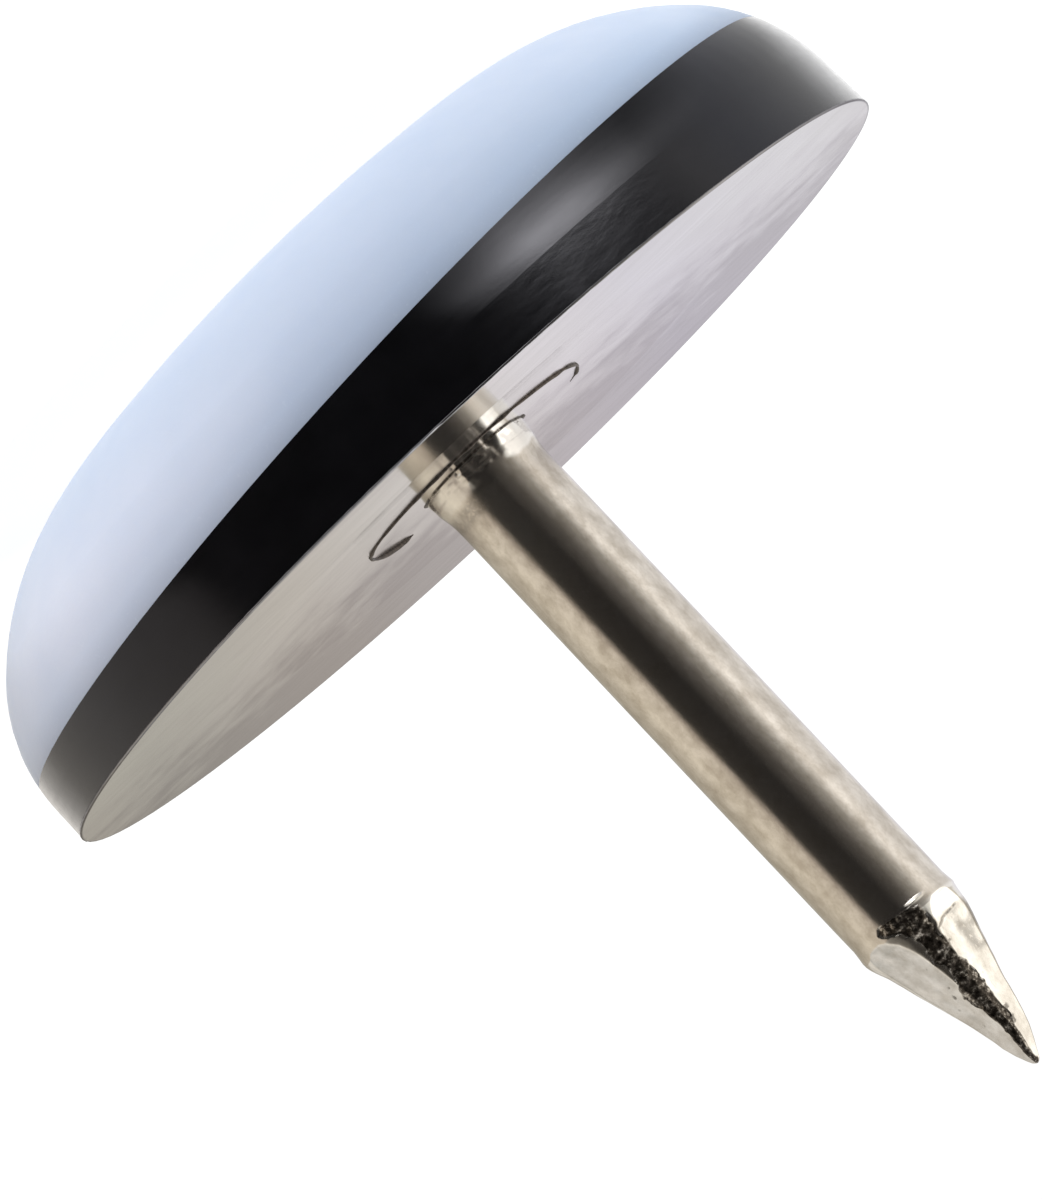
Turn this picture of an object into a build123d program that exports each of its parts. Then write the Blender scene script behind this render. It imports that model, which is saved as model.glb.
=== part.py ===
from build123d import *

import os
from math import radians, sin, tan

# Nail-on furniture glide, in millimetres. It stands on its crown, with the nail up along +Z.
# The origin is on the nail's axis, level with the plate's face, which seats on the furniture leg.

# Body: the outer form of the slide pad and the cushion together, measured down from the plate's face. Body and
# plate stand a little to +X of the nail's axis, because the nail is welded on off their centre
glide_diameter = 25.0
glide_offset = 0.14
wall_inset = 0.015
wall_height = 1.25
wall_draft = 2.0
shoulder_radius = 4.3
shoulder_turn = 42.0
flank_radius = 7.2
flank_turn = 37.0
body_lean = 1.4

# Cushion: the rubber left under the plate on the nail's axis, and the slant of its seam with the pad
cushion_thickness = 1.36
seam_slant = 3.9

# Base plate: a disc bevelled below its edge land, with a shallow dish in its face
plate_thickness = 1.0
edge_land = 0.05
edge_round = 0.03
dish_diameter = 16.0
dish_depth = 0.2

# Nail: its length and its drafted collar are measured up from the plate's face
nail_length = 19.0
shank_diameter = 2.8
point_length = 4.45
tip_diameter = 0.25
facet_count = 4
facet_depth = 0.05
tip_facet_depth = 0.03
collar_diameter = 2.94
collar_top_diameter = 2.89
collar_height = 0.45
collar_taper = 0.12

# Weld: the flared foot of the nail, and its thinner root, which is let into a seat in the plate
foot_diameter = 3.3
foot_land = 0.04
foot_flare = 0.2
root_diameter = 2.2
root_depth = 0.3
root_clearance = 0.01
seat_margin = 0.1

# Sizes that follow from those above
rim_radius = glide_diameter / 2
wall_radius = rim_radius - wall_inset
shank_radius = shank_diameter / 2
collar_radius = collar_diameter / 2
collar_top_radius = collar_top_diameter / 2
foot_radius = foot_diameter / 2
root_radius = root_diameter / 2
tip_radius = tip_diameter / 2
weld_level = -dish_depth
point_level = nail_length - point_length
crown_turn = 90 - wall_draft - shoulder_turn - flank_turn

# The body's axis leans from the nail's, and the seam slants further the same way
glide_centre = (glide_offset, 0, 0)
body_axis = Axis(glide_centre, Vector(0, 0, 1).rotate(Axis.Y, -body_lean))
section_plane = Plane(glide_centre, x_dir=Vector(1, 0, 0).rotate(Axis.Y, -body_lean), z_dir=(0, -1, 0))
rim_plane = Plane.XY.offset(-edge_land)
seam_origin = (0, 0, -plate_thickness - cushion_thickness)
seam_plane = Plane(seam_origin, z_dir=Vector(0, 0, 1).rotate(Axis.Y, -seam_slant))

os.makedirs("parts", exist_ok=True)

# Blank of the base plate, which is also the form of the recess that it leaves in the cushion
with BuildPart() as plate_blank:
    with BuildSketch():
        with Locations(glide_centre):
            Circle(rim_radius)
    extrude(amount=-plate_thickness)
    chamfer(plate_blank.edges().sort_by(Axis.Z)[0], plate_thickness - edge_land)

# Base plate: the blank with its upper edge rounded, and a dish that runs out level into the seat for the weld
with BuildPart() as base_plate:
    add(plate_blank.part)
    fillet(base_plate.edges().sort_by(Axis.Z)[-1], edge_round)
    with BuildSketch(Plane.XZ):
        with BuildLine():
            weld_seat = Line((0, weld_level), (foot_radius + seat_margin, weld_level))
            dish = TangentArc(weld_seat @ 1, (dish_diameter / 2, 0), tangent=weld_seat % 1)
            Polyline(dish @ 1, (0, 0), weld_seat @ 0)
        make_face()
    revolve(axis=Axis.Z, mode=Mode.SUBTRACT)
    with BuildSketch(Plane.XY.offset(weld_level)):
        Circle(root_radius + root_clearance)
    extrude(amount=-root_depth, mode=Mode.SUBTRACT)
base_plate.part.label = "base_plate"

# Body: a run of tangent arcs from the wall to the crown, turned about the leaning axis. The wall starts above
# the rim, where the lean needs it, and is cut off under the plate's edge land
with BuildPart() as body:
    with BuildSketch(section_plane):
        with BuildLine():
            wall_spare = rim_radius * tan(radians(body_lean))
            wall = Line(
                (wall_radius + wall_spare * tan(radians(wall_draft)), wall_spare),
                (wall_radius - wall_height * tan(radians(wall_draft)), -wall_height),
            )
            shoulder = JernArc(wall @ 1, wall % 1, shoulder_radius, -shoulder_turn)
            flank = JernArc(shoulder @ 1, shoulder % 1, flank_radius, -flank_turn)
            crown_radius = (flank @ 1).X / sin(radians(crown_turn))
            crown = JernArc(flank @ 1, flank % 1, crown_radius, -crown_turn)
            Polyline(crown @ 1, (0, wall_spare), wall @ 0)
        make_face()
    revolve(axis=body_axis)
    split(bisect_by=rim_plane, keep=Keep.BOTTOM)

# Slide pad: the body below the seam
with BuildPart() as slide_pad:
    add(body.part)
    split(bisect_by=seam_plane, keep=Keep.BOTTOM)
slide_pad.part.label = "slide_pad"

# Cushion: the body above the seam, with the plate bedded in it
with BuildPart() as cushion:
    add(body.part)
    split(bisect_by=seam_plane, keep=Keep.TOP)
    add(plate_blank.part, mode=Mode.SUBTRACT)
cushion.part.label = "cushion"

# Nail: root, flared foot, collar, shank and cone, turned as one outline, then the point's flat facets
with BuildPart() as nail:
    with BuildSketch(Plane.XZ):
        with BuildLine():
            root = Polyline(
                (0, weld_level - root_depth),
                (root_radius, weld_level - root_depth),
                (root_radius, weld_level),
                (foot_radius, weld_level),
                (foot_radius, weld_level + foot_land),
            )
            collar = Line((collar_radius, weld_level + foot_land + foot_flare), (collar_top_radius, collar_height))
            TangentArc(collar @ 0, root @ 1, tangent=-(collar % 0))
            Polyline(
                collar @ 1,
                (shank_radius, collar_height + collar_taper),
                (shank_radius, point_level),
                (tip_radius, nail_length),
                (0, nail_length),
                root @ 0,
            )
        make_face()
    revolve(axis=Axis.Z)
    facet_base = shank_radius - facet_depth
    facet_run = facet_base - tip_radius + tip_facet_depth
    for facet in range(facet_count):
        facet_angle = (facet + 0.5) * 360 / facet_count
        facet_origin = Vector(facet_base, 0, point_level).rotate(Axis.Z, facet_angle)
        facet_outward = Vector(point_length, 0, facet_run).rotate(Axis.Z, facet_angle)
        split(bisect_by=Plane(facet_origin, z_dir=facet_outward), keep=Keep.BOTTOM)
nail.part.label = "nail"

export_step(base_plate.part, "parts/base_plate.step")
export_step(slide_pad.part, "parts/slide_pad.step")
export_step(cushion.part, "parts/cushion.step")
export_step(nail.part, "parts/nail.step")
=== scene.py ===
"""Look of the nail-on furniture glide: pad, cushion, plate and nail, with the studio round them."""
from math import cos, pi, radians, sin

import bpy
import numpy as np
from mathutils import Matrix, Vector


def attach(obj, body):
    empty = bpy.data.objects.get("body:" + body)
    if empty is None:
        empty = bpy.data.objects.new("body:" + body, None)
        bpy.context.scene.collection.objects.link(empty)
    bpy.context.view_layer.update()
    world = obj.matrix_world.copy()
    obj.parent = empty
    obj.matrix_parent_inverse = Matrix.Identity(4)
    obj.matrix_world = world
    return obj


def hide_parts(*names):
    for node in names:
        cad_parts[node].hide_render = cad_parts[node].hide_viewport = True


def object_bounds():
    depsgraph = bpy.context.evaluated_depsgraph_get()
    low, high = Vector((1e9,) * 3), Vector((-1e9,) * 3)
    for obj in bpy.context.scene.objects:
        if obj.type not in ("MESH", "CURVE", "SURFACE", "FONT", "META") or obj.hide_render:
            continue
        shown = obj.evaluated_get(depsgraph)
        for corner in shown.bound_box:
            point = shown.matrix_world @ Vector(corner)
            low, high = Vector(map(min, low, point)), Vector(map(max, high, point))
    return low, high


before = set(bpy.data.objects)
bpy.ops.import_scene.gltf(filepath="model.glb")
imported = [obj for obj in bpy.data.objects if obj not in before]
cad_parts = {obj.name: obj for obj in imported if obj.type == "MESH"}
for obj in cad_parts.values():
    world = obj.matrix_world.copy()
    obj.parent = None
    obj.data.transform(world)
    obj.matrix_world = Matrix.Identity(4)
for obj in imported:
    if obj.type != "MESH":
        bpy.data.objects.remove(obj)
cad_low, cad_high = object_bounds()
MM = 0.001

# Sizes that the new pieces share with the solids, in millimetres
FOOT_RADIUS, SEAT_MARGIN = 1.65, 0.1
ROOT_RADIUS, ROOT_DEPTH = 1.1, 0.3
WELD_LEVEL = -0.2
POINT_LEVEL, NAIL_TOP = 14.55, 19.0
DISH_RADIUS = 8.0
PLATE_RADIUS, PLATE_OFFSET = 12.5, 0.14
FLOOR_LEVEL = cad_low.z / MM

# The pad's seam: its level on the nail's axis, and its rise for each millimetre towards +X
SEAM_LEVEL, SEAM_RISE = -2.36, 0.0682

# Edges of the new skins that turn by more than this angle stay sharp, in degrees
SHARP_EDGE = 50

WHITE = (1.0, 1.0, 1.0)


# Meshes

def soft_noise(places, pitch, seed):
    """Smooth noise from -1 to 1: seeded random values on a cubic lattice, blended between the eight
    nearest corners by the curve 3p^2 - 2p^3 of the place within the cell."""
    size = 32
    values = np.random.default_rng(seed).uniform(-1, 1, (size, size, size))
    cell = np.asarray(places) / pitch
    low = np.floor(cell).astype(int)
    part = cell - low
    blend = part * part * (3 - 2 * part)
    total = np.zeros(cell.shape[:-1])
    for corner in np.ndindex(2, 2, 2):
        share = np.prod(np.where(corner, blend, 1 - blend), axis=-1)
        x, y, z = np.moveaxis((low + corner) % size, -1, 0)
        total += share * values[x, y, z]
    return total


def step_up(value, low, high):
    """Rises smoothly from 0 at low to 1 at high by the curve 3p^2 - 2p^3."""
    part = np.clip((value - low) / (high - low), 0, 1)
    return part * part * (3 - 2 * part)


def between(value, low, high, soft):
    """1 from low to high and 0 beyond, with edges that are soft to either side."""
    return step_up(value, low - soft, low + soft) * (1 - step_up(value, high - soft, high + soft))


def bell(value, middle, spread):
    """A bump of height 1 by exp(-d^2), where d is the distance from the middle in spreads."""
    return np.exp(-(((value - middle) / spread) ** 2))


def polar(radius, turn, height):
    """Points from their radius and angle about the nail's axis, and their height."""
    return np.stack(np.broadcast_arrays(radius * np.cos(turn), radius * np.sin(turn), height), -1)


def ring_faces(rows, around):
    """Faces between rings of points: point j of ring k joins point j of ring k+1 and the next point round."""
    row, column = np.meshgrid(np.arange(rows - 1), np.arange(around), indexing="ij")
    here = row * around + column
    beside = row * around + (column + 1) % around
    return np.stack([here, beside, beside + around, here + around], -1).reshape(-1, 4).tolist()


def add_mesh(name, points, faces):
    """A new mesh object at the origin, from points in millimetres."""
    mesh = bpy.data.meshes.new(name)
    mesh.from_pydata((np.asarray(points) * MM).tolist(), [], faces)
    piece = bpy.data.objects.new(name, mesh)
    bpy.context.scene.collection.objects.link(piece)
    return piece


def skin(name, rings):
    """A closed mesh from a stack of rings, in millimetres. The mean point of each end ring closes that end
    with a fan."""
    rows, around = rings.shape[:2]
    points = np.concatenate([rings.reshape(-1, 3), [rings[0].mean(0), rings[-1].mean(0)]])
    last_ring, low_end = (rows - 1) * around, rows * around
    turn = np.arange(around)
    after = (turn + 1) % around
    low_fan = np.stack([after, turn, np.full(around, low_end)], -1)
    high_fan = np.stack([last_ring + turn, last_ring + after, np.full(around, low_end + 1)], -1)
    piece = add_mesh(name, points, ring_faces(rows, around) + low_fan.tolist() + high_fan.tolist())
    piece.data.shade_smooth()
    piece.data.set_sharp_from_angle(angle=radians(SHARP_EDGE))
    return piece


def paint(piece, name, values):
    """Stores one number for each point of a skin as a named attribute, and 0 for its two end points."""
    attribute = piece.data.attributes.new(name, "FLOAT", "POINT")
    attribute.data.foreach_set("value", np.append(values.reshape(-1), [0, 0]).astype(np.float32))


# Finishes

class Nodes:
    """Short calls for the nodes of a material or of the world."""

    def __init__(self, tree):
        self.tree = tree

    def node(self, kind, **settings):
        made = self.tree.nodes.new(kind)
        for setting, value in settings.items():
            setattr(made, setting, value)
        return made

    def feed(self, value, socket):
        """Gives a socket another node's output, a colour or a number."""
        if isinstance(value, bpy.types.NodeSocket):
            self.tree.links.new(value, socket)
        else:
            socket.default_value = (*value, 1) if isinstance(value, tuple) else value

    def split(self, vector):
        """The X, Y and Z of a vector."""
        parts = self.node("ShaderNodeSeparateXYZ")
        self.feed(vector, parts.inputs[0])
        return tuple(parts.outputs)

    def maths(self, operation, first, second):
        """Works out one number from two numbers or sockets."""
        maths = self.node("ShaderNodeMath", operation=operation)
        self.feed(first, maths.inputs[0])
        self.feed(second, maths.inputs[1])
        return maths.outputs[0]

    def spread(self, value, low, high):
        """Turns a value into a share from 0 at low to 1 at high."""
        spread = self.node("ShaderNodeMapRange")
        self.feed(value, spread.inputs["Value"])
        self.feed(low, spread.inputs["From Min"])
        self.feed(high, spread.inputs["From Max"])
        return spread.outputs[0]

    def ramp(self, share, stops):
        """Blends the given (place, colour) stops by a share from 0 to 1. A number in place of a colour is a
        grey or a plain value."""
        ramp = self.node("ShaderNodeValToRGB")
        band = ramp.color_ramp
        while len(band.elements) < len(stops):
            band.elements.new(0.5)
        for element, (place, colour) in zip(band.elements, stops):
            element.position = place
            element.color = (*colour, 1) if isinstance(colour, tuple) else (colour, colour, colour, 1)
        self.feed(share, ramp.inputs["Fac"])
        return ramp.outputs["Color"]

    def mix(self, share, first, second, blend="MIX"):
        """Mixes two colours or sockets by a share from 0 to 1."""
        mix = self.node("ShaderNodeMix", data_type="RGBA", blend_type=blend)
        self.feed(share, mix.inputs[0])
        self.feed(first, mix.inputs[6])
        self.feed(second, mix.inputs[7])
        return mix.outputs[2]


class Finish(Nodes):
    """A material on the Principled shader. Its sockets are named with _ for a space."""

    def __init__(self, name, **sockets):
        self.material = bpy.data.materials.new(name)
        self.material.use_nodes = True
        super().__init__(self.material.node_tree)
        self.shader = self.tree.nodes["Principled BSDF"]
        for socket, value in sockets.items():
            self.shader.inputs[socket.replace("_", " ")].default_value = value
        self.place = self.node("ShaderNodeTexCoord").outputs["Object"]

    def noise(self, grains_per_mm, stretch=(1, 1, 1), detail=3.0, roughness=0.5):
        """Fractal noise from 0 to 1, with its grains made longer along an axis by a small stretch there."""
        mapping = self.node("ShaderNodeMapping")
        mapping.inputs["Scale"].default_value = Vector(stretch) * grains_per_mm / MM
        self.feed(self.place, mapping.inputs["Vector"])
        noise = self.node("ShaderNodeTexNoise")
        self.feed(1, noise.inputs["Scale"])
        self.feed(detail, noise.inputs["Detail"])
        self.feed(roughness, noise.inputs["Roughness"])
        self.feed(mapping.outputs["Vector"], noise.inputs["Vector"])
        return noise.outputs["Fac"]

    def painted(self, name):
        """The numbers that paint has stored on the piece under a name."""
        return self.node("ShaderNodeAttribute", attribute_name=name).outputs["Fac"]

    def swing(self, noise, strength):
        """A noise about 0, times its strength."""
        return self.maths("MULTIPLY", self.maths("SUBTRACT", noise, 0.5), strength)

    def colour(self, source):
        self.feed(source, self.shader.inputs["Base Color"])

    def roughness(self, source):
        self.feed(source, self.shader.inputs["Roughness"])

    def bump(self, height, depth_mm):
        """Raises the surface by up to the given depth where the height is 1."""
        bump = self.node("ShaderNodeBump")
        self.feed(depth_mm * MM, bump.inputs["Distance"])
        self.feed(height, bump.inputs["Height"])
        self.feed(bump.outputs["Normal"], self.shader.inputs["Normal"])

    def dress(self, piece):
        piece.data.materials.clear()
        piece.data.materials.append(self.material)


def waxy_pad_finish():
    """Pale blue-grey fluoropolymer: milky, faintly clouded, with a fine moulded grain and pale specks. Shade
    is
    painted into its colour: it grows darker towards the seam, by the depth below the seam's slanted plane."""
    finish = Finish("waxy_pale_blue", IOR=1.38, Subsurface_Weight=0.25, Subsurface_Scale=0.0012,
                    Subsurface_Radius=(0.7, 0.85, 1.0))
    shades = [(0.3, (0.61, 0.705, 0.865)), (0.7, (0.65, 0.735, 0.885))]
    clouds = finish.ramp(finish.noise(0.35, detail=4), shades)
    # Painted shade: the colour darkens towards the seam, by the depth below the seam's slanted plane.
    x, _, z = finish.split(finish.place)
    slanted = finish.maths("MULTIPLY", x, SEAM_RISE)
    depth = finish.maths("ADD", finish.maths("SUBTRACT", slanted, z), SEAM_LEVEL * MM)
    reach_mm = 2.1
    shadow = [(0.0, (0.62, 0.65, 0.69)), (0.3, (0.83, 0.855, 0.88)), (0.6, (0.93, 0.94, 0.95)), (1.0, WHITE)]
    shadow = finish.ramp(finish.maths("DIVIDE", depth, reach_mm * MM), shadow)
    # The clouds now carry the painted shade as well.
    clouds = finish.mix(1.0, clouds, shadow, "MULTIPLY")
    specks = finish.ramp(finish.noise(9, detail=2), [(0.62, 0.0), (0.74, 1.0)])
    finish.colour(finish.mix(finish.maths("MULTIPLY", specks, 0.12), clouds, (0.70, 0.78, 0.88)))
    finish.roughness(finish.ramp(finish.noise(1.2), [(0.3, 0.36), (0.7, 0.46)]))
    finish.bump(finish.noise(7, detail=4, roughness=0.6), 0.004)
    return finish


def satin_rubber_finish():
    """Black rubber: satin and smooth, with a very faint grain drawn out round the side by the mould."""
    finish = Finish("satin_black_rubber", IOR=1.5, Specular_Tint=(0.94, 0.93, 1.0, 1.0))
    shades = [(0.3, (0.0025, 0.0025, 0.003)), (0.7, (0.005, 0.005, 0.006))]
    finish.colour(finish.ramp(finish.noise(0.8, detail=4), shades))
    finish.roughness(finish.ramp(finish.noise(2.5, stretch=(0.4, 0.4, 2)), [(0.3, 0.15), (0.7, 0.20)]))
    finish.bump(finish.noise(5, stretch=(0.5, 0.5, 1.5), detail=2), 0.0016)
    return finish


def rolled_plate_finish():
    """Bright rolled steel: long faint streaks along X, and cloudy patches where it is duller. Painted shade
    dims its reflections towards +Y, unevenly, by streaks and mottling. It is darker at its outer edge."""
    finish = Finish("bright_rolled_plate", Metallic=1.0)
    clouds = finish.noise(0.35, stretch=(0.6, 1.2, 1), detail=5)
    streaks = finish.noise(1.1, stretch=(0.12, 2.2, 1), detail=5)
    mottle = finish.noise(0.55, detail=4, roughness=0.6)
    patches = finish.mix(0.45, clouds, streaks)
    bright = finish.ramp(patches, [(0.32, (0.64, 0.625, 0.61)), (0.68, (0.84, 0.83, 0.82))])
    finish.roughness(finish.ramp(patches, [(0.3, 0.16), (0.7, 0.08)]))
    x, y, _ = finish.split(finish.place)
    x_share = finish.maths("DIVIDE", finish.maths("SUBTRACT", x, PLATE_OFFSET * MM), PLATE_RADIUS * MM)
    y_share = finish.maths("DIVIDE", y, PLATE_RADIUS * MM)
    out = finish.maths("ADD", finish.maths("POWER", x_share, 2), finish.maths("POWER", y_share, 2))
    rim = finish.ramp(out, [(0.991, WHITE), (0.995, (0.5, 0.5, 0.52))])
    finish.colour(finish.mix(1.0, bright, rim, "MULTIPLY"))
    # Painted shade: the reflections dim towards +Y, made uneven by streaks and mottling, through the Specular
    # Tint.
    painted_far_shade = finish.maths("ADD", finish.maths("MULTIPLY", y_share, 0.5), 0.5)
    painted_far_shade = finish.maths("ADD", painted_far_shade, finish.swing(streaks, 0.35))
    painted_far_shade = finish.maths("ADD", painted_far_shade, finish.swing(mottle, 0.75))
    painted_reflection_shade = finish.ramp(painted_far_shade, [
        (0.28, WHITE), (0.50, (0.935, 0.925, 0.935)), (0.62, (0.82, 0.805, 0.82)), (0.75, (0.69, 0.67, 0.69)),
    ])
    finish.feed(finish.mix(1.0, painted_reflection_shade, rim, "MULTIPLY"), finish.shader.inputs["Specular Tint"])
    finish.bump(streaks, 0.0015)
    return finish


def nickel_finish():
    """Nickel plating, warm and bright, mottled where it is thin, with a painted highlight that brightens it
    on the collar and the right flat's foot, and dark and dull where it is torn and in a painted shadow round
    its foot."""
    finish = Finish("nickel_plating", Metallic=1.0)
    torn, painted_highlight = finish.painted("torn"), finish.painted("painted_highlight")
    mottle = finish.noise(2.4, stretch=(1, 1, 0.7), detail=6, roughness=0.65)
    plated = finish.ramp(mottle, [(0.34, (0.60, 0.555, 0.49)), (0.66, (0.88, 0.84, 0.78))])
    # Painted highlight: the stored numbers brighten the colour on the collar and the right flat's foot.
    bright = finish.mix(painted_highlight, plated, (0.97, 0.95, 0.91))
    scale = [(0.35, (0.02, 0.016, 0.013)), (0.53, (0.10, 0.085, 0.07)), (0.64, (0.60, 0.55, 0.48))]
    scale = finish.ramp(finish.noise(8, detail=5, roughness=0.7), scale)
    # The torn numbers also lay the painted shadow round the foot.
    finish.colour(finish.mix(torn, bright, scale))
    smooth = finish.ramp(mottle, [(0.3, 0.22), (0.7, 0.13)])
    finish.roughness(finish.mix(torn, smooth, (0.4, 0.4, 0.4)))
    finish.bump(finish.noise(4.0, stretch=(1, 1, 0.6), detail=5), 0.0025)
    return finish


def scored_metal_finish():
    """Dark brown-grey metal of the scored witness ring and of the weld flash."""
    finish = Finish("dark_scored_metal", Metallic=0.7)
    shades = [(0.35, (0.045, 0.037, 0.03)), (0.75, (0.20, 0.165, 0.14))]
    finish.colour(finish.ramp(finish.noise(12, detail=4), shades))
    finish.roughness(finish.ramp(finish.noise(6), [(0.3, 0.4), (0.7, 0.6)]))
    finish.bump(finish.noise(14, detail=4), 0.01)
    return finish


# Nail. Lengths are in millimetres, and side is the distance towards -X, which is to the right in the view

def nail_grid():
    """Heights, angles and round radii over the nail. The radius follows a profile over the height, and the
    rows are closer together at the weld and on the point."""
    step = 0.001
    profile = np.array([
        (WELD_LEVEL - ROOT_DEPTH, ROOT_RADIUS), (WELD_LEVEL, ROOT_RADIUS), (WELD_LEVEL + step, 1.395),
        (1.2, 1.39), (7.0, 1.40), (13.6, 1.395), (14.2, 1.39), (14.4, 1.41), (14.55, 1.43), (14.66, 1.42),
        (14.8, 1.39), (15.05, 1.33), (15.4, 1.23), (15.8, 1.10), (16.2, 0.98), (16.6, 0.86), (17.0, 0.745),
        (17.4, 0.635), (17.8, 0.535), (18.2, 0.43), (18.55, 0.295), (18.8, 0.18), (18.93, 0.11),
        (18.985, 0.05), (NAIL_TOP, 0.012),
    ])
    heights = np.concatenate([
        profile[:3, 0], np.linspace(-0.19, 1.0, 64), np.linspace(1.1, 14.0, 80),
        np.linspace(14.05, 18.9, 216), np.linspace(18.91, NAIL_TOP, 14),
    ])
    turn = np.linspace(0, 2 * pi, 220, endpoint=False)
    height, angle = np.meshgrid(heights, turn, indexing="ij")
    above_root = (height > WELD_LEVEL + step / 2).astype(float)
    return height, angle, np.interp(height, profile[:, 0], profile[:, 1]), above_root


def weld_collar(height, angle, radius, place, above_root):
    """The radius with the weld collar added, and the side of each point. The collar is a bulge by exp(-d^2)
    above its crest, with a foot that flares below it. Noise roughens it, most of all in the middle, and in
    front it has two lumps and a wider flare to the right."""
    crest = 0.12
    flare = np.clip(crest - height, 0, 0.32)
    bulge = 0.085 * bell(np.maximum(height - crest, 0), 0, 0.34)
    radius = radius + above_root * (bulge + 0.09 * flare)
    side = -radius * np.cos(angle)
    front = angle > pi
    rough = above_root * (1 - step_up(height, 0.1, 0.35)) * (0.15 + 0.85 * between(side, -0.5, 0.6, 0.08))
    radius = radius + rough * (0.012 * soft_noise(place, 0.3, 3) + 0.028 * soft_noise(place, 0.11, 4))
    radius = radius + 0.32 * above_root * front * between(side, 0.66, 1.25, 0.12) * flare
    lumps = bell(side, -0.36, 0.17) + 0.9 * bell(side, 0.70, 0.17)
    radius = radius + 0.04 * above_root * front * lumps * (1 - step_up(height, 0.15, 0.5))
    return radius, side


def flat_point(height, angle, radius, on_point):
    """The radius cut by four flats on the point. Each flat is at a share of the radius from the axis, which
    falls with the height."""
    from_flat = (angle % (pi / 2)) - pi / 4
    share = np.interp(height, [POINT_LEVEL, 14.9, 15.4, 16.0, 17.0], [0.99, 0.93, 0.885, 0.86, 0.82])
    flats = np.minimum(1, share / np.cos(from_flat))
    return radius * (1 + on_point * (flats - 1))


def torn_strips(height, angle, side, place):
    """Where the metal is torn, between the flats in front and behind, and the two sides that bound it. They
    follow listed places over the height, made ragged by noise."""
    strip = np.array([
        (14.3, -0.58, -0.52), (14.42, -0.68, 0.10), (14.56, -0.64, 0.50), (14.75, -0.33, 0.50),
        (15.0, -0.22, 0.40), (15.45, -0.17, 0.33), (15.8, -0.26, 0.30), (16.1, -0.06, 0.32),
        (16.5, -0.16, 0.36), (16.8, -0.36, 0.38), (17.2, -0.18, 0.29), (17.65, -0.13, 0.26),
        (18.2, -0.11, 0.17), (18.7, -0.09, 0.09),
    ])
    across = np.where(angle > pi, side, -side)
    across = across + 0.07 * soft_noise(place, 0.30, 11) + 0.04 * soft_noise(place, 0.12, 12)
    left = np.interp(height, strip[:, 0], strip[:, 1])
    right = np.interp(height, strip[:, 0], strip[:, 2])
    middle = np.abs(np.sin(angle)) > 0.5
    return middle * (height > strip[0, 0]) * between(across, left, right, 0.02), left, right


def painted_highlight_patches(height, side, front, place, above_root):
    """Where a highlight is painted: on the collar's right and, less, its left, and on the right flat's foot.
    """
    top = 0.50 - 0.3 * np.abs(side - 0.9) + 0.06 * soft_noise(place, 0.4, 61)
    right = above_root * between(side, 0.60, 1.7, 0.05) * between(height, -0.17, top, 0.05)
    left = above_root * 0.6 * between(side, -1.3, -0.42, 0.1) * between(height, -0.14, 0.44, 0.08)
    flat = front * between(side, 0.36, 1.6, 0.05) * between(height, 14.56, 15.0, 0.05)
    return np.maximum(np.maximum(right, left), flat)


def make_nail():
    """The nail from root to tip, as rings about its axis. The radius follows a profile with a weld collar, is
    cut by four flats on the point, and is roughened by noise, the torn strips, a lip and a crack. The axis
    bends a little along the point."""
    height, angle, radius, above_root = nail_grid()
    place = polar(radius, angle, height)
    front = angle > pi
    radius, side = weld_collar(height, angle, radius, place, above_root)
    on_point = step_up(height, POINT_LEVEL, POINT_LEVEL + 0.1)
    radius = flat_point(height, angle, radius, on_point)

    torn, left, right = torn_strips(height, angle, side, place)
    tear = soft_noise(place, 0.22, 21) + 0.7 * soft_noise(place, 0.10, 22)
    room = np.clip(radius / 0.7, 0, 1)
    radius = radius + room * torn * (0.032 * tear - 0.02)
    waves = 0.018 * soft_noise(place, 0.7, 31) + 0.006 * soft_noise(place, 0.25, 32)
    radius = radius + room * on_point * waves

    lip_level, lip_rise = 14.40, 0.03
    lip = front * between(side, 0.16, 0.72, 0.08) * bell(height, lip_level, 0.04)
    radius = radius + lip_rise * lip * (1 + 0.5 * soft_noise(place, 0.15, 51))
    crack_level, crack_depth = 15.20, 0.02
    crack_path = crack_level - 0.20 * (side - 0.4) / 0.75 + 0.04 * soft_noise(place, 0.2, 52)
    crack = front * between(side, 0.38, 1.15, 0.04) * bell(height, crack_path, 0.022)
    radius = radius - crack_depth * crack

    flecks = front * step_up(soft_noise(place, 0.13, 53), 0.50, 0.62) * between(height, 15.3, 18.2, 0.1)
    flecks = flecks * between(side, left - 0.35, right + 0.15, 0.05)
    stain = front * between(side, 0.78, 1.6, 0.1) * between(height, 15.1, 16.2, 0.1)
    stain = 0.45 * stain * step_up(soft_noise(place, 0.3, 54), -0.5, 0.3)
    above_weld = between(height, 0.52, 0.95, 0.1) * (0.7 + 0.4 * soft_noise(place, 0.35, 55))
    both_sides = 0.42 * between(side, -1.6, -0.45, 0.1) + 0.14 * between(side, 0.6, 1.6, 0.1)
    stain = stain + above_weld * both_sides
    # Painted shadow: the colour darkens in a thin band round the foot, where the nail meets the plate.
    painted_foot_shadow = above_root * (1 - step_up(height, -0.175, -0.155))

    rings = polar(radius, angle, height)
    rings[..., 0] += 0.07 * step_up(height, 17.8, 18.9) - 0.04 * step_up(height, 14.7, 15.2)
    nail = skin("plated_nail", rings)
    # The torn numbers darken the colour for torn metal, the crack, flecks and stains, and also for the
    # painted shadow round the foot.
    paint(nail, "torn", np.clip(torn + 0.6 * crack + 0.7 * flecks + stain + painted_foot_shadow, 0, 1))
    # Painted highlight: numbers that brighten the plating's colour on the collar and the right flat's foot.
    paint(nail, "painted_highlight", painted_highlight_patches(height, side, front, place, above_root))
    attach(nail, "root")
    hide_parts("nail")
    return nail


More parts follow.
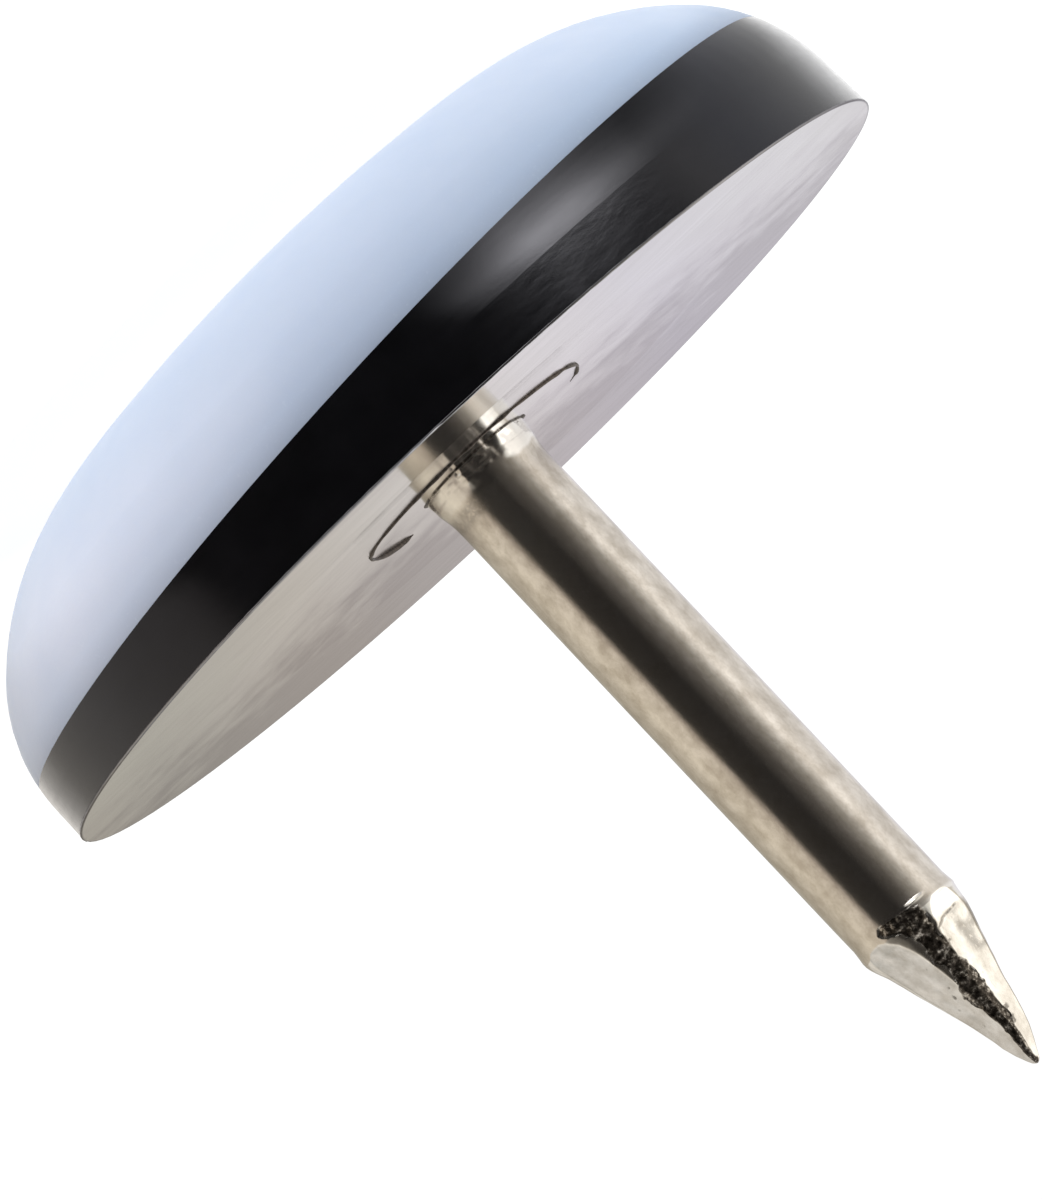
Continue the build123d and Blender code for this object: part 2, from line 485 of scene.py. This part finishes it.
def make_weld_flash():
    """A thin skirt of dark metal pressed out round the foot. Its outer edge stands a little beyond the foot,
    further at the two sides, and wanders with noise. The top slopes from the foot down to that edge."""
    inner, outer, base, thickness = 1.2, 1.475, WELD_LEVEL, 0.022
    turn = np.linspace(0, 2 * pi, 240, endpoint=False)
    walk = polar(1.5, turn, 0.0)
    at_sides = np.abs(np.cos(turn)) ** 14
    reach = outer + 0.02 * soft_noise(walk, 0.35, 71) + at_sides * (0.12 + 0.08 * soft_noise(walk, 0.3, 72))
    rise = thickness + 0.012 * soft_noise(walk, 0.3, 73) + 0.02 * at_sides
    section = [
        (inner, base), (reach, base), (reach - 0.01, base + 0.4 * rise), (0.5 * reach + 0.67, base + rise),
        (inner, base + rise),
    ]
    flash = skin("weld_flash", np.stack([polar(out, turn, level) for out, level in section]))
    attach(flash, "root")
    return flash


# Witness ring

def dish_height(radius):
    """Height of the plate's dish: level to the edge of the weld's seat, then an arc up to the face."""
    seat, depth = FOOT_RADIUS + SEAT_MARGIN, -WELD_LEVEL
    run = DISH_RADIUS - seat
    arc = (run ** 2 + depth ** 2) / (2 * depth)
    out = np.clip(radius - seat, 0, run)
    return WELD_LEVEL + arc - np.sqrt(arc ** 2 - out ** 2)


def make_witness_ring():
    """A thin raised bead round the nail. Its middle follows a circle part of the way round, a half-round
    section stands on the middle, and noise wavers its width and place. One end is thicker, like a tail."""
    ring_radius, bead_radius = 3.29, 0.034
    start, finish = radians(152), radians(408)
    along = np.linspace(start, finish, 460)
    around = np.linspace(0, 2 * pi, 12, endpoint=False)
    walk = np.outer(3.3 * along, (1, 0, 0))
    middle = ring_radius + 0.025 * soft_noise(walk, 0.9, 41)
    ends = np.minimum(step_up(along, start, start + 0.3), 1 - step_up(along, finish - 0.12, finish))
    tail = step_up(along, radians(372), radians(388))
    size = (bead_radius + 0.010 * soft_noise(walk, 0.35, 42) + 0.022 * tail) * (0.15 + 0.85 * ends)
    across = middle[:, None] + size[:, None] * np.cos(around)
    rise = dish_height(across) + size[:, None] * (0.55 + np.sin(around))
    rings = polar(across, along[:, None], rise)
    ring = skin("witness_ring", rings[:, ::-1])
    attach(ring, "root")
    return ring


# Build

waxy_pad_finish().dress(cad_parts["slide_pad"])
satin_rubber_finish().dress(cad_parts["cushion"])
rolled_plate_finish().dress(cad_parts["base_plate"])
nickel_finish().dress(make_nail())
scored_metal = scored_metal_finish()
scored_metal.dress(make_witness_ring())
scored_metal.dress(make_weld_flash())


# Studio. Lengths are in millimetres, and angles in degrees

def stage_sheet(name, points, faces):
    """A sheet of the studio: a new mesh from points in millimetres."""
    sheet = add_mesh(name, points, faces)
    return sheet


def make_floor():
    """A plain pale floor, level with the crown of the pad, which glows a little like a light table."""
    reach = 4000
    corners = [(-reach, -reach), (reach, -reach), (reach, reach), (-reach, reach)]
    floor = stage_sheet("floor", [(*corner, FLOOR_LEVEL) for corner in corners], [(0, 1, 2, 3)])
    material = bpy.data.materials.new("pale_floor")
    material.use_nodes = True
    nodes = Nodes(material.node_tree)
    nodes.tree.nodes.clear()
    matt = nodes.node("ShaderNodeBsdfDiffuse")
    nodes.feed((0.35, 0.35, 0.35), matt.inputs["Color"])
    light = nodes.node("ShaderNodeEmission")
    nodes.feed(0.80, light.inputs["Strength"])
    both = nodes.node("ShaderNodeAddShader")
    nodes.feed(matt.outputs[0], both.inputs[0])
    nodes.feed(light.outputs[0], both.inputs[1])
    out = nodes.node("ShaderNodeOutputMaterial")
    nodes.feed(both.outputs[0], out.inputs["Surface"])
    floor.data.materials.append(material)


def card_ring(name, section, stops):
    """A ring of cards about the object. Its section is a run of (radius, height), and its colour follows the
    given (angle, colour) stops, where the angle is measured from the front and grows towards -X."""
    section = np.array(section)
    turn = np.linspace(0, 2 * pi, 96, endpoint=False)
    points = polar(section[:, :1], turn, section[:, 1:]).reshape(-1, 3)
    ring = stage_sheet(name, points, ring_faces(len(section), turn.size))
    card = Finish(name + "_paint")
    x, y, _ = card.split(card.place)
    angle = card.maths("ARCTAN2", card.maths("MULTIPLY", x, -1), card.maths("MULTIPLY", y, -1))
    share = card.maths("ADD", card.maths("DIVIDE", angle, 2 * pi), 0.5)
    colour = card.ramp(share, [((degrees + 180) / 360, shade) for degrees, shade in stops])
    glow = card.node("ShaderNodeEmission")
    card.feed(colour, glow.inputs["Color"])
    card.feed(glow.outputs[0], card.tree.nodes["Material Output"].inputs["Surface"])
    card.dress(ring)
    ring.visible_camera = False
    ring.visible_shadow = False
    return ring


def make_screens():
    """Cards round the object that are seen only in reflections. An apron of rings on the floor and a ledge
    are reflected by the cushion: dark in front and bright behind the two ends. The apron has one soft
    highlight, which moves to the right with distance, and whose strength follows exp(-d^2) over the radius. A
    wall is reflected by the plate and the shank, and a high wall by the nail's point."""
    dark = 0.02
    left = [
        (-180, (0.60, 0.58, 0.55)), (-165, (1.20, 1.15, 1.08)), (-140, (1.10, 1.05, 0.98)),
        (-118, (0.66, 0.62, 0.56)), (-90, (0.72, 0.68, 0.63)), (-57, (0.52, 0.48, 0.44)), (-48, dark),
    ]
    right = [(85, (0.62, 0.63, 0.68)), (118, 0.74), (135, 1.4), (165, 1.8), (180, (0.60, 0.59, 0.61))]
    low = FLOOR_LEVEL + 0.1
    ledge_foot, wall_foot, wall_top, screen_top = (33, low + 0.9), (33.2, -2.6), (33.8, 16), (34.5, 60)

    count, apron_start, bright_radius, bright_width = 12, 14, 26, 8
    edges = np.linspace(apron_start, ledge_foot[0], count + 1)
    levels = [low] * count + [ledge_foot[1]]
    highlight = [(-19, 0.0), (-9, 0.34), (0, 1.0), (10, 0.88), (20, 0.36), (30, 0.12)]
    rings = []
    for step in range(count):
        section = [(edges[step], levels[step]), (edges[step + 1], levels[step + 1])]
        out = (edges[step] + edges[step + 1]) / 2
        light = 0.4 + 6.8 * bell(out, bright_radius, bright_width)
        middle = 26 + 0.66 * (out - apron_start)
        glow = [(middle + turn, dark + share * light) for turn, share in highlight]
        rings.append(card_ring("apron_%d" % step, section, left + glow + right))

    front = [(10, 0.015), (40, dark), (58, (0.16, 0.15, 0.15)), (70, (0.75, 0.73, 0.71))]
    rings.append(card_ring("ledge", [ledge_foot, wall_foot], left + front + right))
    rings.append(card_ring("wall", [wall_foot, wall_top], [
        (-180, (0.68, 0.64, 0.62)), (-176, (0.62, 0.585, 0.555)), (-171, (0.54, 0.50, 0.45)),
        (-162, (0.44, 0.42, 0.37)), (-145, (0.44, 0.40, 0.33)), (-120, (0.53, 0.48, 0.40)),
        (-90, (0.74, 0.67, 0.56)), (-60, (0.66, 0.59, 0.50)), (-52, (0.45, 0.39, 0.33)),
        (-44, (0.03, 0.027, 0.024)), (4, (0.018, 0.016, 0.015)), (30, (0.085, 0.077, 0.07)),
        (54, (0.33, 0.31, 0.28)), (76, (1.05, 1.0, 0.94)), (104, (0.78, 0.75, 0.72)),
        (140, (0.84, 0.82, 0.81)), (160, (0.78, 0.77, 0.80)), (170, (0.74, 0.72, 0.78)),
        (176, (0.77, 0.735, 0.76)), (180, (0.68, 0.64, 0.62)),
    ]))
    rings.append(card_ring("high_wall", [wall_top, screen_top], [
        (-180, (0.75, 0.73, 0.70)), (-130, (0.75, 0.72, 0.66)), (-108, (0.50, 0.50, 0.48)),
        (-90, (0.76, 0.74, 0.71)), (-70, (0.95, 0.92, 0.86)), (-50, (0.30, 0.28, 0.25)),
        (-30, (0.04, 0.036, 0.032)), (30, (0.06, 0.055, 0.05)), (60, (0.9, 0.87, 0.8)),
        (75, (1.5, 1.47, 1.40)), (95, (1.5, 1.47, 1.40)), (112, (0.60, 0.55, 0.47)),
        (150, (0.50, 0.47, 0.42)), (180, (0.60, 0.59, 0.58)),
    ]))
    for ring in rings:
        ring.visible_diffuse = False


def make_floor_cards():
    """Cards on the floor about the foot of the object, which shade it in front and light its left end. They
    are not seen in reflections."""
    level = FLOOR_LEVEL + 0.05
    cards = card_ring("floor_cards", [(13.0, level), (60, level)], [
        (-180, 0.8), (-120, (0.45, 0.44, 0.43)), (-90, (0.55, 0.52, 0.50)), (-52, (1.62, 1.42, 1.33)),
        (-26, (1.24, 1.14, 1.10)), (0, (0.84, 0.84, 0.88)), (40, (0.82, 0.88, 0.94)),
        (75, (1.34, 1.42, 1.50)), (180, 0.8),
    ])
    cards.visible_glossy = False


def make_lamp():
    """A soft square lamp high up behind, which faces the object."""
    place = Vector((-60, 60, 220))
    data = bpy.data.lights.new("top_lamp", "AREA")
    data.size = 160 * MM
    data.energy = 0.15
    lamp = bpy.data.objects.new("top_lamp", data)
    lamp.location = place * MM
    lamp.rotation_euler = (-place).to_track_quat("-Z", "Y").to_euler()
    bpy.context.scene.collection.objects.link(lamp)


def make_world():
    """Soft studio surroundings: white to the camera, in reflections and through clear things, and for light
    greys that are dark in front and lighter behind and above."""
    world = bpy.data.worlds.new("studio")
    bpy.context.scene.world = world
    world.use_nodes = True
    nodes = Nodes(world.node_tree)
    nodes.tree.nodes.clear()
    x, y, z = nodes.split(nodes.node("ShaderNodeTexCoord").outputs["Generated"])
    sides = nodes.ramp(nodes.spread(x, -0.5, 0.5), [(0, (0.62, 0.61, 0.66)), (1, (0.44, 0.41, 0.37))])
    front_back = nodes.ramp(nodes.spread(y, -0.6, 0.2), [(0, 0.20), (1, WHITE)])
    low_part = nodes.mix(1, sides, front_back, "MULTIPLY")
    high_part = nodes.ramp(nodes.spread(x, -0.5, 0.3), [(0, (0.95, 0.95, 0.94)), (1, (0.56, 0.57, 0.59))])
    rise = nodes.ramp(nodes.spread(z, 0.1, 0.8), [(0, 0.0), (1, 1.0)])
    surround = nodes.mix(rise, low_part, high_part)
    path = nodes.node("ShaderNodeLightPath")
    seen = path.outputs["Is Camera Ray"]
    for ray in ("Is Glossy Ray", "Is Transmission Ray"):
        seen = nodes.maths("MAXIMUM", seen, path.outputs[ray])
    background = nodes.node("ShaderNodeBackground")
    nodes.feed(nodes.mix(seen, surround, WHITE), background.inputs["Color"])
    out = nodes.node("ShaderNodeOutputWorld")
    nodes.feed(background.outputs[0], out.inputs["Surface"])


def make_camera():
    """A long lens in front, a little above the plate, rolled so that the nail runs down to the right."""
    rise, roll = radians(5.9), radians(43.25)
    distance, long_side, sensor = 1000.0, 27.84, 36
    target = Vector((1.4035, 0, 2.912))
    back = Vector((0, -cos(rise), sin(rise)))
    nail_in_view = Vector((0, sin(rise), cos(rise)))
    side = Vector((1, 0, 0))
    right = nail_in_view * sin(roll) - side * cos(roll)
    up = -nail_in_view * cos(roll) - side * sin(roll)
    data = bpy.data.cameras.new("camera")
    data.sensor_width = sensor
    data.lens = sensor * distance / long_side
    data.clip_start, data.clip_end = 0.01, 20
    camera = bpy.data.objects.new("camera", data)
    turn = Matrix((right, up, back)).transposed().to_4x4()
    camera.matrix_world = Matrix.Translation((target + back * distance) * MM) @ turn
    bpy.context.scene.collection.objects.link(camera)
    bpy.context.scene.camera = camera


make_floor()
make_screens()
make_floor_cards()
make_lamp()
make_world()
make_camera()
bpy.context.scene.view_settings.view_transform = "Standard"
